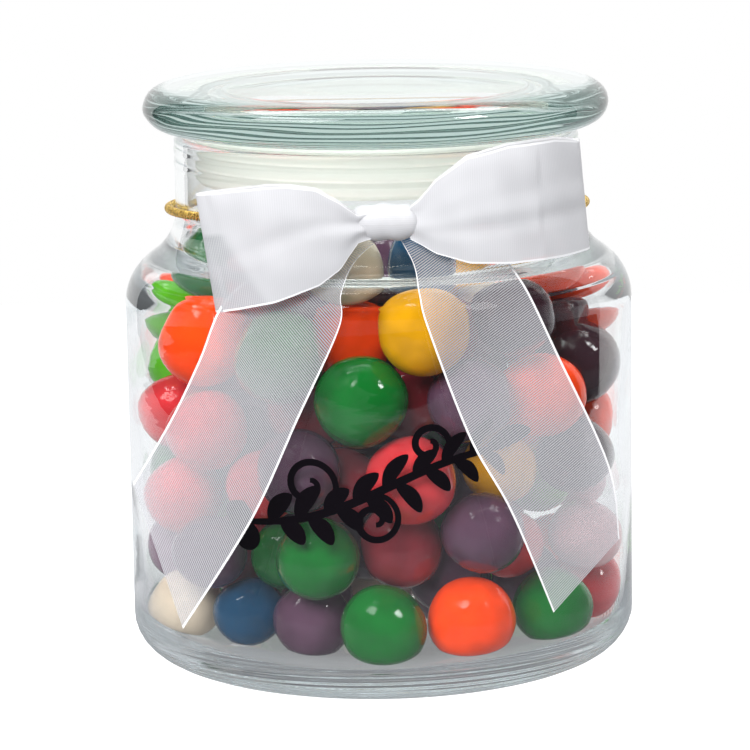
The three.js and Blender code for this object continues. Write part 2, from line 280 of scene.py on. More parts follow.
print_radius = jar_radius + 0.02 * MM
print_thickness = 0.05 * MM
thinnest_half = 0.06
leaf_pairs = 8
leaf_pitch = 5.6
first_leaf = -22
stem_width = 1.7
tendril_width = 1.35
tendril_turns = 1.45


def spline(points, at):
    """Places on a smooth curve through a few points; 1.5 is half way from point 1 to point 2."""
    guide = np.array(points, float)
    line = []
    for value in at:
        i = min(int(value), len(guide) - 2)
        t = value - i
        p0, p1 = guide[max(i - 1, 0)], guide[i]
        p2, p3 = guide[i + 1], guide[min(i + 2, len(guide) - 1)]
        line.append(0.5 * (2 * p1 + (p2 - p0) * t + (2 * p0 - 5 * p1 + 4 * p2 - p3) * t ** 2
                           + (3 * p1 - p0 - 3 * p2 + p3) * t ** 3))
    return np.array(line)


def stroke(points, width, swell, steps):
    """One brush stroke on the flat print: its two edges, from a curve through a few points."""
    line = spline(points, np.linspace(0, len(points) - 1, steps))
    along = np.gradient(line, axis=0)
    along /= np.linalg.norm(along, axis=1)[:, None]
    aside = np.stack([-along[:, 1], along[:, 0]], 1)
    share = np.linspace(0, 1, steps)
    half = width / 2 * (swell * np.sin(math.pi * share) ** 0.8 + (1 - swell))
    half = np.maximum(half, thinnest_half)
    return line + aside * half[:, None], line - aside * half[:, None]


def leaf(base, tip, width):
    """A pointed leaf from its base to its tip, bent a little to one side."""
    base, tip = np.array(base, float), np.array(tip, float)
    side = np.array([-(tip - base)[1], (tip - base)[0]]) * 0.09
    return stroke([base, base * 0.5 + tip * 0.5 + side, tip], width, swell=0.97, steps=18)


def stem_at(x):
    """Height of the stem at a distance round the jar."""
    return 42.9 + 0.27 * x + 1.6 * math.sin(x / 8.5)


stem = [(x, stem_at(x)) for x in np.linspace(-26, 22, 13)]
strokes = [stroke(stem, stem_width, swell=0.35, steps=70)]
for number in range(leaf_pairs):
    x = first_leaf + number * leaf_pitch
    rise = 5.6 + 1.1 * math.sin(2.1 * number)
    width = 3.6 - 0.16 * number
    strokes.append(leaf((x, stem_at(x)), (x + 4.6, stem_at(x) + rise), width))
    strokes.append(leaf((x + 2.2, stem_at(x + 2.2)), (x + 6.9, stem_at(x) - 0.72 * rise), width))
strokes.append(leaf((-25.5, stem_at(-25.5) + 0.6), (-31.5, 38.6), 5.6))
strokes.append(leaf((-25.5, stem_at(-25.5) - 0.6), (-29.2, 31.2), 5.8))
strokes.append(leaf((20.5, stem_at(20.5)), (30.2, 52.2), 3.9))
tendrils = ((-14, 1, 6.2), (-1.5, -1, 5.2), (9, 1, 4.6))
for x, way, size in tendrils:
    turns = np.linspace(0, tendril_turns * 2 * math.pi, 18)
    shrink = size * (1 - turns / turns[-1] * 0.84)
    start = np.array([x, stem_at(x)])
    ring = [start + np.array([s * math.sin(a), way * (size - s * math.cos(a))])
            for a, s in zip(turns, shrink)]
    strokes.append(stroke(ring, tendril_width, swell=0.3, steps=60))

points, faces = [], []
for left, right in strokes:
    count, first = len(left), len(points)
    for radius in (print_radius, print_radius + print_thickness):
        for edge in (left, right):
            turn = edge[:, 0] * MM / jar_radius
            points.extend(zip(radius * np.sin(turn), -radius * np.cos(turn), edge[:, 1] * MM))
    for i in range(count - 1):
        a, b, c, d = (first + i + count * k for k in range(4))
        faces += [(a, a + 1, b + 1, b), (c, d, d + 1, c + 1), (a, c, c + 1, a + 1), (b, b + 1, d + 1, d)]
    a, b, c, d = (first + count * k for k in range(4))
    faces += [(a, b, d, c), (a + count - 1, c + count - 1, d + count - 1, b + count - 1)]


def grained(name, values, scale, height, tones, span=(0.0, 1.0), detail=2.0):
    """A material whose colour drifts between two tones with a fine noise, its relief too."""
    made, tree, output = material(name)
    noise, relief = ripple(tree, scale, height, detail=detail)
    ramp = add(tree, "ShaderNodeValToRGB", {"Fac": noise})
    for element, position, tone in zip(ramp.color_ramp.elements, span, tones):
        element.position = position
        element.color = (*tone, 1)
    surface = add(tree, "ShaderNodeBsdfPrincipled", {
        "Base Color": ramp, "Normal": relief, "Coat Normal": relief, **values})
    feed(tree, output["Surface"], surface)
    return made


sprig = face_outwards(finished("printed_sprig", points, faces, smooth=False))
sprig.data.materials.append(grained(
    "black_enamel", {"Roughness": 0.55, "Specular IOR Level": 0.2}, scale=3200, height=0.01 * MM,
    tones=((0.0008, 0.0004, 0.001), (0.0035, 0.0016, 0.004))))
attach(sprig, "root")

# --------------------------------------------------
# The fruit sours: chewy balls of 14 to 18 mm in a polished sugar shell. Those against the front
# glass have their places chosen one by one; the rest are poured round them. All in millimetres.

flavours = {
    "lemon": (0.60, 0.28, 0.0003),
    "green": (0.0015, 0.125, 0.015),
    "forest": (0.004, 0.10, 0.022),
    "lime": (0.09, 0.40, 0.012),
    "cherry": (0.58, 0.028, 0.034),
    "blood": (0.90, 0.058, 0.002),
    "orange": (0.90, 0.058, 0.001),
    "grape": (0.085, 0.040, 0.070),
    "mauve": (0.16, 0.08, 0.13),
    # The next dark red is cherry made darker: painted shade, for cherry sweets deep in the heap.
    "maroon": (0.24, 0.020, 0.030),
    "black": (0.030, 0.010, 0.016),
    "blue": (0.006, 0.062, 0.14),
    "rose": (0.70, 0.38, 0.40),
    "cream": (0.66, 0.55, 0.42),
}

# Flavour, degrees round from the front, height, diameter, gap to the glass. An empty row holds
# a small gap open between its neighbours and becomes no sweet.
against_glass = (
    ("lemon", 12, 71, 17.5, 0),
    ("green", -5, 58.5, 18, 0),
    ("cherry", 8, 42.5, 17.5, 0),
    ("grape", 26, 56.5, 17, 4),
    ("grape", -23, 44, 16.5, 0),
    ("lemon", 38, 42.5, 15, 8.5),
    ("grape", 28, 31, 16, 0),
    ("green", -18, 26.5, 16.5, 0),
    ("green", -1, 13.5, 17, 0),
    ("orange", 25, 13.5, 18, 0),
    ("maroon", 6, 27, 16.5, 8.5),
    ("grape", -25, 15, 16, 3.5),
    ("blue", -48, 14.5, 15, 6),
    ("grape", -58, 23.5, 15, 2),
    ("cream", -66, 12, 14.5, 1),
    ("blood", -8, 67, 16, 10),
    ("green", -28, 65, 17, 0),
    ("orange", -58, 65, 17.5, 0),
    ("blood", 51, 55.5, 17.5, 0),
    ("green", 54, 12.5, 16, 0),
    ("black", 39, 72.5, 16, 0),
    ("black", 75, 59, 17, 0),
    ("blood", 91, 70.5, 16, 0),
    ("blood", 76, 77, 15, 0),
    ("cream", 60, 75, 13.5, 9),
    ("rose", 79, 20.5, 14.5, 0),
    ("cherry", 84, 12, 14.5, 0),
    ("blood", 92, 44.5, 15, 0),
    ("rose", 100, 33, 14.5, 0),
    ("black", 68, 41.5, 15.5, 0),
    ("lime", 80, 29.5, 14, 6),
    ("forest", -80, 76.5, 17, 0),
    ("lime", -92, 66.5, 13.5, 0),
    ("lime", -98, 57.5, 14.5, 0),
    ("cherry", -86, 50.5, 15.5, 0),
    ("cherry", -71, 33.5, 15.5, 0),
    ("cherry", -55, 49.5, 16, 0),
    ("cherry", -47, 39.5, 14.5, 6),
    ("cream", -10, 81, 15, 3),
    ("blue", 17, 81, 14, 6),
    ("cherry", 53, 21.5, 14, 8),
    ("mauve", -92, 20, 15, 0),
    ("green", -43, 24, 14, 9),
    ("maroon", 9, 54, 15.5, 10),
    ("grape", 20, 43, 15, 13),
    ("empty", -9, 70, 9, 0),
    ("empty", 4, 27, 7, 0),
    ("empty", 38, 43, 7, 0),
    ("empty", -25, 14, 7, 0),
)
poured = 96
pour_seed = 7
sweet_gap = 0.25
poured_radii = (7.3, 8.9)
pour_reach = 42
pour_heights = (11, 82)
tries_each = 60
heap_top = (90.0, 86.5)
barely_free = 0.12
settle_steps = 900
sink = 0.05
worst_squeeze = 0.8

bore_line = (np.array(bore) / MM)[::-1]
bore_from, bore_step = bore_line[:-1], np.diff(bore_line, axis=0)
bore_length2 = (bore_step ** 2).sum(1)


def off_glass(places):
    """How far each place is inside the bore, and the direction straight off the glass there."""
    out = np.hypot(places[:, 0], places[:, 1])
    flat = np.stack([out, places[:, 2]], 1)
    share = ((flat[:, None] - bore_from) * bore_step).sum(2) / bore_length2
    nearest = bore_from + np.clip(share, 0, 1)[..., None] * bore_step
    apart = flat[:, None] - nearest
    distance = np.sqrt((apart ** 2).sum(2))
    best = distance.argmin(1)
    rows = np.arange(len(places))
    normal = np.stack([-bore_step[best, 1], bore_step[best, 0]], 1)
    normal /= np.linalg.norm(normal, axis=1)[:, None]
    side = np.where((apart[rows, best] * normal).sum(1) >= 0, 1.0, -1.0)
    gap = np.maximum(distance[rows, best], 1e-9)
    inward = apart[rows, best] / gap[:, None] * side[:, None]
    unit = places[:, :2] / np.maximum(out, 1e-9)[:, None]
    return gap * side, np.column_stack([inward[:, :1] * unit, inward[:, 1]])


def rest_on_glass(degrees, height, diameter, gap):
    """The centre of a sweet that lies the given gap behind the glass."""
    turn = math.radians(degrees)
    height = max(height, floor_thickness / MM + diameter / 2 + sweet_gap + 0.01)
    near, far = 0.0, bore_radius / MM
    for _ in range(40):
        reach = (near + far) / 2
        place = np.array([[reach * math.sin(turn), -reach * math.cos(turn), height]])
        clear = off_glass(place)[0][0] > diameter / 2 + sweet_gap
        near, far = (reach, far) if clear else (near, reach)
    reach = near - gap
    return np.array([reach * math.sin(turn), -reach * math.cos(turn), height])


def settle(places, radii, freedom, steps, fall):
    """Push overlapping sweets apart and let the free ones sink, keeping all off the glass."""
    need = radii[:, None] + radii[None]
    share = freedom[:, None] / np.maximum(freedom[:, None] + freedom[None], 1e-9)
    ceiling = np.interp(places[:, 0], [-bore_radius / MM, bore_radius / MM], heap_top)
    for step in range(steps):
        apart = places[:, None] - places[None]
        distance = np.sqrt((apart ** 2).sum(2))
        np.fill_diagonal(distance, 1e9)
        push = np.clip(need - distance, 0, None) * share
        places = places + (apart / distance[..., None] * push[..., None]).sum(1) * 0.6
        places[:, 2] -= fall * freedom * (1 - step / steps)
        too_high = np.clip(places[:, 2] + radii - ceiling, 0, None) * (freedom > 0)
        places[:, 2] -= 0.5 * too_high
        for _ in range(2):
            clear, inward = off_glass(places)
            short = np.clip(radii + sweet_gap - clear, 0, None) * (freedom > 0)
            places = places + inward * short[:, None]
    return places


draw = np.random.default_rng(pour_seed)
kinds = [row[0] for row in against_glass]
places = np.array([rest_on_glass(*row[1:]) for row in against_glass])
radii = np.array([row[3] / 2 for row in against_glass])
placed = len(kinds)
loose = np.array([barely_free if row[4] == 0 else 1.0 for row in against_glass])
places = settle(places, radii, loose, steps=200, fall=0)
for radius in draw.uniform(*poured_radii, poured):
    turn = draw.uniform(0, 2 * math.pi, tries_each)
    reach = np.sqrt(draw.uniform(0, 1, tries_each)) * pour_reach
    height = draw.uniform(*pour_heights, tries_each)
    tries = np.stack([reach * np.cos(turn), reach * np.sin(turn), height], 1)
    room = np.linalg.norm(tries[:, None] - places[None], axis=2) - radii[None]
    best = np.minimum(room.min(1), off_glass(tries)[0]).argmax()
    places = np.vstack([places, tries[best]])
    radii = np.append(radii, radius)
freedom = np.concatenate([np.zeros(placed), np.ones(poured)])
places = settle(places, radii, freedom, settle_steps, sink)

# Poured sweets get any flavour at the back and a dark one in the front, where they show only
# through the gaps: real sweets whose dark colours paint shade into the gaps. One that is still squeezed
# too hard is left out.
front_half = -8
common = {"cherry": 14, "green": 12, "orange": 11, "lemon": 9, "grape": 12, "black": 6, "blood": 6,
          "lime": 8, "mauve": 5, "blue": 4, "cream": 5, "rose": 5, "forest": 4, "maroon": 4}
chance = np.array(list(common.values())) / sum(common.values())
kinds += list(draw.choice(list(common), poured, p=chance))
# Dark flavours for the sweets seen through the gaps, as painted shade there.
gap_shade_tones = draw.choice(["grape", "maroon", "cherry", "black", "grape"], poured)
for number in range(placed, len(kinds)):
    if places[number, 1] < front_half:
        kinds[number] = str(gap_shade_tones[number - placed])
stretch = draw.uniform(0.965, 1.03, (len(kinds), 3))
turns = draw.uniform(0, 2 * math.pi, (len(kinds), 3))
kept = []
for number in range(len(kinds)):
    squeeze = [radii[number] + radii[k] - np.linalg.norm(places[number] - places[k]) for k in kept]
    fits = number < placed or max(squeeze) < worst_squeeze
    if fits and kinds[number] != "empty":
        kept.append(number)


def node_group(name, inputs):
    """A Geometry Nodes group with the given further inputs: the group, its inputs, its output."""
    group = bpy.data.node_groups.new(name, "GeometryNodeTree")
    face = group.interface
    face.new_socket("Geometry", in_out="INPUT", socket_type="NodeSocketGeometry")
    face.new_socket("Geometry", in_out="OUTPUT", socket_type="NodeSocketGeometry")
    for label, kind in inputs.items():
        face.new_socket(label, in_out="INPUT", socket_type=f"NodeSocket{kind}")
    given = group.nodes.new("NodeGroupInput").outputs
    return group, given, group.nodes.new("NodeGroupOutput").inputs["Geometry"]


def maths(tree, operation, *values):
    """A Math node that is fed with the given values."""
    return add(tree, "ShaderNodeMath", dict(enumerate(values)), operation=operation)


def product(tree, first, *others):
    """The product of several values."""
    for other in others:
        first = maths(tree, "MULTIPLY", first, other)
    return first


def vector_maths(tree, operation, first, second=(0, 0, 0)):
    """A Vector Math node; the second value of SCALE is a number."""
    inputs = {0: first, "Scale" if operation == "SCALE" else 1: second}
    return add(tree, "ShaderNodeVectorMath", inputs, operation=operation)


def dressed(group, geometry, finish, target):
    """The last nodes of a group: smooth shading and a material."""
    smooth = add(group, "GeometryNodeSetShadeSmooth", {"Geometry": geometry})
    coat = add(group, "GeometryNodeSetMaterial", {"Geometry": smooth, "Material": finish})
    feed(group, target, coat)


def grown(name, mesh, group, values):
    """The plain mesh that a group makes of a mesh and the given values, as a new object."""
    holder = bpy.data.objects.new("holder", mesh)
    bpy.context.scene.collection.objects.link(holder)
    grow = holder.modifiers.new(group.name, "NODES")
    grow.node_group = group
    for socket in group.interface.items_tree:
        if socket.name in values:
            grow[socket.identifier] = values[socket.name]
    graph = bpy.context.evaluated_depsgraph_get()
    made = bpy.data.objects.new(name, bpy.data.meshes.new_from_object(holder.evaluated_get(graph)))
    made.data.name = name
    bpy.data.objects.remove(holder)
    bpy.context.scene.collection.objects.link(made)
    return made


pile, given, pile_out = node_group("Sweets", {
    "Shell": "Material", "Roundness": "Int", "Lump depth": "Float", "Lumps per metre": "Float"})
ball = add(pile, "GeometryNodeMeshIcoSphere", {"Radius": 0.5, "Subdivisions": given["Roundness"]})
sides = add(pile, "GeometryNodeInputNamedAttribute", {"Name": "sides"}, data_type="FLOAT_VECTOR")
turn = add(pile, "GeometryNodeInputNamedAttribute", {"Name": "turn"}, data_type="FLOAT_VECTOR")
spin = add(pile, "FunctionNodeEulerToRotation", {"Euler": turn})
put = add(pile, "GeometryNodeInstanceOnPoints", {
    "Points": given["Geometry"], "Instance": ball,
    "Scale": sides, "Rotation": spin})
real = add(pile, "GeometryNodeRealizeInstances", {"Geometry": put})
where = add(pile, "GeometryNodeInputPosition")
outward = add(pile, "GeometryNodeInputNormal")
lumps = add(pile, "ShaderNodeTexNoise", {
    "Vector": where, "Scale": given["Lumps per metre"], "Detail": 1.0,
    "Roughness": 0.4}, noise_dimensions="3D")
depth = product(pile, maths(pile, "SUBTRACT", lumps, 0.70), given["Lump depth"])
move = add(pile, "GeometryNodeSetPosition", {
    "Geometry": real,
    "Offset": vector_maths(pile, "SCALE", outward, depth)})
dressed(pile, move, given["Shell"], pile_out)


def sugar_shell(name, colour):
    """Polished sugar over a chewy middle: even colour, a clear gloss, and a faint orange peel."""
    deep = [c * 0.88 for c in colour]
    pale = [min(1, c * 1.08 + 0.001) for c in colour]
    gloss = {"Roughness": 0.5, "Specular IOR Level": 0.0, "Coat Weight": 1.0, "Coat Roughness": 0.06}
    return grained(name, gloss, scale=200, height=0.03 * MM, tones=(deep, pale), span=(0.35, 0.65),
                   detail=1.0)


for flavour, colour in flavours.items():
    mine = [k for k in kept if kinds[k] == flavour]
    cloud = bpy.data.meshes.new("points")
    cloud.from_pydata([tuple(places[k] * MM) for k in mine], [], [])
    across = cloud.attributes.new("sides", "FLOAT_VECTOR", "POINT")
    across.data.foreach_set("vector", (2 * radii[mine, None] * MM * stretch[mine]).ravel())
    turn = cloud.attributes.new("turn", "FLOAT_VECTOR", "POINT")
    turn.data.foreach_set("vector", turns[mine].ravel())
    sweets = grown(f"sours_{flavour}", cloud, pile, {
        "Shell": sugar_shell(f"shell_{flavour}", colour), "Roundness": 5, "Lump depth": 1.1 * MM,
        "Lumps per metre": 85.0})
    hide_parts("sours")
    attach(sweets, "root")

# --------------------------------------------------
# The lid seal: a soft ring of milky translucent plastic pushed over the lid's plug. Its flange
# lies between the lid and the rim of the jar, and its skirt fills the neck with two beads.

seal_low, seal_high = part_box("lid_seal")
seal_bottom, seal_top = seal_low[2], seal_high[2]
seal_skirt = 35.7 * MM
seal_bore = 34.5 * MM
seal_flange = seal_high[0]
flange_thickness = 0.85 * MM
bead = 0.35 * MM


def softened(corners, radius, steps=4):
    """An outline whose corners are rounded with a small arc."""
    result = []
    count = len(corners)
    for i in range(count):
        here = np.array(corners[i], float)
        before = np.array(corners[i - 1], float) - here
        after = np.array(corners[(i + 1) % count], float) - here
        reach = min(radius, 0.45 * np.linalg.norm(before), 0.45 * np.linalg.norm(after))
        a = here + before / np.linalg.norm(before) * reach
        b = here + after / np.linalg.norm(after) * reach
        for t in np.linspace(0, 1, steps + 1):
            result.append(tuple(a * (1 - t) ** 2 + here * 2 * t * (1 - t) + b * t ** 2))
    return result


seal_corners = [(seal_bore, seal_bottom), (seal_skirt - 0.5 * MM, seal_bottom)]
for out, up in ((0, 0.8), (0, 2.6), (bead, 3.2), (0, 3.8), (0, 5.6), (bead, 6.2), (0, 6.8)):
    seal_corners.append((seal_skirt + out, seal_bottom + up * MM))
flange_under = seal_top - flange_thickness
seal_corners += [(seal_skirt, flange_under), (seal_flange, flange_under), (seal_flange, seal_top),
                 (seal_bore, seal_top)]
seal = turned("lid_seal_ring", softened(seal_corners, 0.25 * MM), steps=144)
seal_plastic, tree, output = clear_glass(
    "seal_plastic", tint=(0.93, 0.92, 0.88, 1), shadow=(0.8, 0.8, 0.78, 1), wave_height=0.03 * MM,
    wave_scale=300, stretch=(1, 1, 4), roughness=0.42, clearness=0.7)
seal.data.materials.append(seal_plastic)
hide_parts("lid_seal")
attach(seal, "root")

# --------------------------------------------------
# The lid: a thick pressed disc of pale aqua glass with a fully rounded edge, flat on top, with a
# hollow round plug below that carries the seal. It lifts straight out of the neck.

lid_low, lid_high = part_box("lid")
lid_top = lid_high[2]
lid_radius = (lid_high[0] - lid_low[0]) / 2
lid_thickness = 8.2 * MM
lid_bottom = lid_top - lid_thickness
lid_edge = 4.6 * MM
lid_unevenness = 0.07 * MM
plug_outer = 34.2 * MM
plug_inner = 30.6 * MM
plug_rounding = 1.0 * MM

edge_centre = (lid_radius - lid_edge, lid_bottom + lid_thickness / 2)
rounded_edge = arc(edge_centre, (lid_edge, lid_thickness / 2), -math.pi / 2, math.pi / 2, steps=32)
plug = softened([
    (plug_inner - 9 * MM, lid_bottom),
    (plug_inner, lid_bottom),
    (plug_inner, lid_low[2]),
    (plug_outer, lid_low[2]),
    (plug_outer, lid_bottom),
    (lid_radius - lid_edge - 1.5 * MM, lid_bottom),
], plug_rounding)[5:-5]
lid_outline = [(0, lid_bottom), (12 * MM, lid_bottom)] + plug + rounded_edge
lid_outline += [(r * MM, lid_top) for r in (38, 32, 24, 15, 7)] + [(0, lid_top)]


def lid_wave(radius, height, angles):
    """The pressed edge of the lid is a little uneven, most of all to the left and the right."""
    near_edge = min(1, max(0, (radius - plug_outer) / (lid_radius - plug_outer)))
    to_the_side = 0.25 + 0.75 * abs(np.cos(angles)) ** 2
    waves = np.sin(5 * angles + 900 * height) + np.sin(9 * angles - 1400 * height)
    return lid_unevenness * near_edge * to_the_side * waves


lid = turned("glass_lid", lid_outline, wave=lid_wave)
lid_glass, tree, output = clear_glass(
    "lid_glass", tint=(0.97, 0.99, 0.98, 1), shadow=(0.93, 0.97, 0.96, 1), wave_height=0.008 * MM,
    wave_scale=45, stretch=(1, 1, 2.5))
aqua = add(tree, "ShaderNodeVolumeAbsorption", {"Color": (0.52, 0.70, 0.66, 1), "Density": 13.0})
feed(tree, output["Volume"], aqua)
lid.data.materials.append(lid_glass)
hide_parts("lid")
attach(lid, "root")

# --------------------------------------------------
# The elastic cord: three twisted strands of metallic gold yarn, with the elastic hidden in
# them. It grips the neck below the lid, dips to the back, and holds the bow at the front.

cord_radius = 0.9 * MM
cord_loop = 41.5 * MM
cord_height = 89.8 * MM
cord_drop = 2.6 * MM
cord_lift = 1.65 * MM
knot_reach = math.radians(20)
cord_steps = 240
strands = 3
strand_share = 0.43
strand_sides = 7
route = []
for i in range(cord_steps):
    angle = -math.pi + i * 2 * math.pi / cord_steps
    from_front = (angle + math.pi / 2) / knot_reach
    radius = cord_loop + cord_lift * math.exp(-from_front ** 2) + 0.3 * MM * math.sin(angle)
    height = cord_height - cord_drop * math.sin(angle)
    route.append((radius * math.cos(angle), radius * math.sin(angle), height))
guide = bpy.data.meshes.new("cord_route")
guide.from_pydata(route, [(i, (i + 1) % cord_steps) for i in range(cord_steps)], [])

yarn, given, yarn_out = node_group("Twisted cord", {
    "Yarn": "Material", "Cord radius": "Float", "Twists": "Float", "Steps": "Int"})
line = add(yarn, "GeometryNodeMeshToCurve", {"Mesh": given["Geometry"]})
even = add(yarn, "GeometryNodeResampleCurve", {"Curve": line, "Count": given["Steps"]})
section = add(yarn, "GeometryNodeCurvePrimitiveCircle", {
    "Resolution": strand_sides, "Radius": product(yarn, given["Cord radius"], strand_share)})
off_centre = product(yarn, given["Cord radius"], 1 - strand_share)
ahead = add(yarn, "GeometryNodeInputTangent")
level = vector_maths(yarn, "NORMALIZE", vector_maths(yarn, "CROSS_PRODUCT", ahead, (0, 0, 1)))
upright = vector_maths(yarn, "CROSS_PRODUCT", level, ahead)
share = add(yarn, "GeometryNodeSplineParameter")
twist = product(yarn, share, given["Twists"], 2 * math.pi)
together = add(yarn, "GeometryNodeJoinGeometry")
for strand in range(strands):
    phase = maths(yarn, "ADD", twist, strand * 2 * math.pi / strands)
    sideways, upwards = [
        vector_maths(yarn, "SCALE", direction, product(yarn, maths(yarn, operation, phase), off_centre))
        for operation, direction in (("COSINE", level), ("SINE", upright))]
    shifted = add(yarn, "GeometryNodeSetPosition", {
        "Geometry": even, "Offset": vector_maths(yarn, "ADD", sideways, upwards)})
    tube = add(yarn, "GeometryNodeCurveToMesh", {"Curve": shifted, "Profile Curve": section})
    feed(yarn, together.inputs["Geometry"], tube)
dressed(yarn, together, given["Yarn"], yarn_out)

gold = grained("gold_yarn", {"Roughness": 0.3, "Metallic": 0.6}, scale=3000, height=0.05 * MM,
               tones=((0.16, 0.07, 0.01), (1.0, 0.68, 0.17)), span=(0.35, 0.62))
cord = grown("gold_elastic_cord", guide, yarn, {
    "Yarn": gold, "Cord radius": cord_radius, "Twists": 75.0, "Steps": 1000})
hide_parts("elastic_cord")
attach(cord, "root")

# --------------------------------------------------
# The bow: one length of white organza tied on the cord, with a knot, two loops and two tails cut
# on the slant. Organza is a sheer weave of fine filaments with a firm bright selvage. Places are
# in millimetres; a loop's reach is how far a point of it is from where the loops meet.

ribbon_width = 22 * MM
loops_meet = 2.8
loop_reach = 36.0
gather_depth = 0.28
crumple = 0.22
knot_centre = np.array([1.5, -44.5, 92.9])
knot_half = np.array([6.4, 3.6, 3.5])
knot_cover = 0.93
loop_cover = 0.915
mottling = 0.009
tail_ripple = 0.25
tail_steps = 110
across = np.linspace(-1, 1, 25)
cloth_points, cloth_faces, cloth_uv, cloth_cover = [], [], [], []


def curve_through(points, steps):
    """Even steps along a smooth curve through a few points."""
    spans = len(points) - 1
    fine = spline(points, np.linspace(0, spans, 24 * spans + 1))
    travel = np.concatenate([[0], np.cumsum(np.linalg.norm(np.diff(fine, axis=0), axis=1))])
    even = np.linspace(0, travel[-1], steps + 1)
    return np.stack([np.interp(even, travel, fine[:, k]) for k in range(fine.shape[1])], 1)


def lay_strip(grid, cover, tucked=0.0):
    """Add a strip of ribbon from a grid of points [along][across]; UVs are in metres of cloth.

    Cover is how closely the threads hide what is behind. A tucked strip has this much of each
    edge folded out of sight.
    """
    grid = np.array(grid)
    rows, columns = grid.shape[:2]
    first = len(cloth_points)
    cloth_points.extend(map(tuple, grid.reshape(-1, 3) * MM))
    cloth_cover.extend(np.broadcast_to(cover, (rows, columns)).ravel())
    steps = np.linalg.norm(np.diff(grid[:, columns // 2], axis=0), axis=1)
    travel = np.concatenate([[0], np.cumsum(steps)]) * MM
    for i in range(rows - 1):
        for j in range(columns - 1):
            corners = [(i, j), (i, j + 1), (i + 1, j + 1), (i + 1, j)]
            cloth_faces.append([first + a * columns + b for a, b in corners])
            cloth_uv.extend([(tucked + b / (columns - 1) * (ribbon_width - 2 * tucked), travel[a])
                             for a, b in corners])


def loop_grid(plan, middle, half_height, steps, slant, hang):
    """A loop of the bow: out along the plan, round its end and back, gathered into the knot."""
    rows = []
    for x, y in curve_through(plan, steps):
        reach = abs(x - loops_meet)
        centre = np.interp(reach, *zip(*middle))
        half = np.interp(reach, *zip(*half_height))
        gathered = math.exp(-((reach - 3) / 8) ** 2)
        fold = gather_depth * gathered * np.sin(across * 5.2 + 0.5 * np.sign(y + 45.8))
        lean = slant * across * (reach / loop_reach) ** 2
        dents = (np.sin(0.55 * x + 4.1 * across + 1.3 * np.sign(y + 46))
                 * np.sin(0.31 * x - 2.7 * across + 0.6))
        soft = crumple * min(1, reach / 10) * dents
        depth = y + fold + soft + hang(reach, across, y)
        rows.append(np.stack([x + lean, depth, centre + half * across], 1))
    return rows


def left_sag(reach, t, y):
    """The front of the left loop is full, with one crease; its back hangs straight."""
    fullness = 0.7 * math.sin(min(reach / 34, 1) * math.pi)
    crease = 0.35 * np.exp(-((t - 0.55 + reach * 0.022) / 0.16) ** 2) * min(1, reach / 12)
    return (-fullness * (1 - t ** 2) + crease) if y < -46.5 else 0 * t


def right_sag(reach, t, y):
    """The right loop is full on both sides, with two creases that fan out from the knot."""
    fullness = 0.9 * math.sin(min(reach / 36, 1) * math.pi)
    crease = 0.38 * np.exp(-((t + 0.45 - reach * 0.006) / 0.14) ** 2)
    second = 0.22 * np.exp(-((t + 0.05 - reach * 0.010) / 0.18) ** 2)
    return -fullness * (1 - t ** 2) + (crease + second) * min(1, max(0, reach - 5) / 8)


left_plan = [(0, -46.4), (-9, -49.4), (-20, -50.2), (-29, -46.6), (-32.4, -43.4), (-29, -43.2),
             (-20, -46.2), (-9, -46.9), (0, -45.2)]
left_middle = [(3, 92.7), (7, 92), (10, 91.1), (14, 90.9), (19, 90.4), (28, 88.8), (35, 87.4)]
left_half = [(3, 2.4), (6.5, 2.6), (8.5, 4.7), (10, 6.4), (14, 9), (19, 10.3), (23, 10.9), (35, 11.3)]
right_plan = [(6, -45.2), (13, -46.2), (25, -43.8), (34, -38.4), (38.6, -35), (38.2, -38.4),
              (30, -46.2), (19, -49.6), (6, -46.4)]
right_middle = [(3, 92.8), (5, 93.1), (8, 94.1), (14, 95.5), (22, 96.3), (31, 96.6), (36, 96.3)]
right_half = [(3, 2.9), (5, 4.2), (8, 6.9), (14, 9.9), (22, 11), (31, 11.1), (36, 10.4)]
left_loop = loop_grid(left_plan, left_middle, left_half, steps=120, slant=-1.7, hang=left_sag)
right_loop = loop_grid(right_plan, right_middle, right_half, steps=130, slant=-0.9, hang=right_sag)


def mottled(rows):
    """How closely a loop covers what is behind it: a little patchy, as double cloth is."""
    return np.array([loop_cover + mottling * (np.sin(0.9 * row[:, 0] + 3.2 * across)
                                              + np.sin(0.43 * row[:, 0] - 5.4 * across + 1))
                     for row in rows])


def thinner_corner(row):
    """The low outer corner of the left loop lets more through."""
    edge = -row[:, 0] - 24.5 - 6.5 * (across + 0.42)
    return 0.20 / (1 + np.exp(-2.2 * edge)) * (across < 0.3)


lay_strip(left_loop, mottled(left_loop) - np.array([thinner_corner(row) for row in left_loop]))
lay_strip(right_loop, mottled(right_loop))

knot_rows = []
for angle in np.linspace(0, 2 * math.pi, 49):
    squeeze = 1 + 0.045 * np.sin(across * 9 + 2 * math.sin(angle))
    rounded = squeeze * (1 - 0.15 * across ** 2 - 0.25 * across ** 6)
    knot_rows.append(np.stack([
        knot_centre[0] + knot_half[0] * across,
        knot_centre[1] - knot_half[1] * rounded * math.cos(angle),
        knot_centre[2] + knot_half[2] * rounded * math.sin(angle),
    ], 1))
lay_strip(knot_rows, knot_cover, tucked=1 * MM)


def tail_grid(left_edge, right_edge):
    """A tail between its two edges, a little rippled where it hangs free."""
    rows = []
    sides = zip(curve_through(left_edge, tail_steps), curve_through(right_edge, tail_steps))
    for i, (left, right) in enumerate(sides):
        t = (across[:, None] + 1) / 2
        row = left * (1 - t) + right * t
        hanging = math.sin(math.pi * min(1, i / tail_steps * 1.15))
        row[:, 1] += tail_ripple * hanging * np.sin(across * 3.3 + i * 0.05)
        rows.append(row)
    return rows


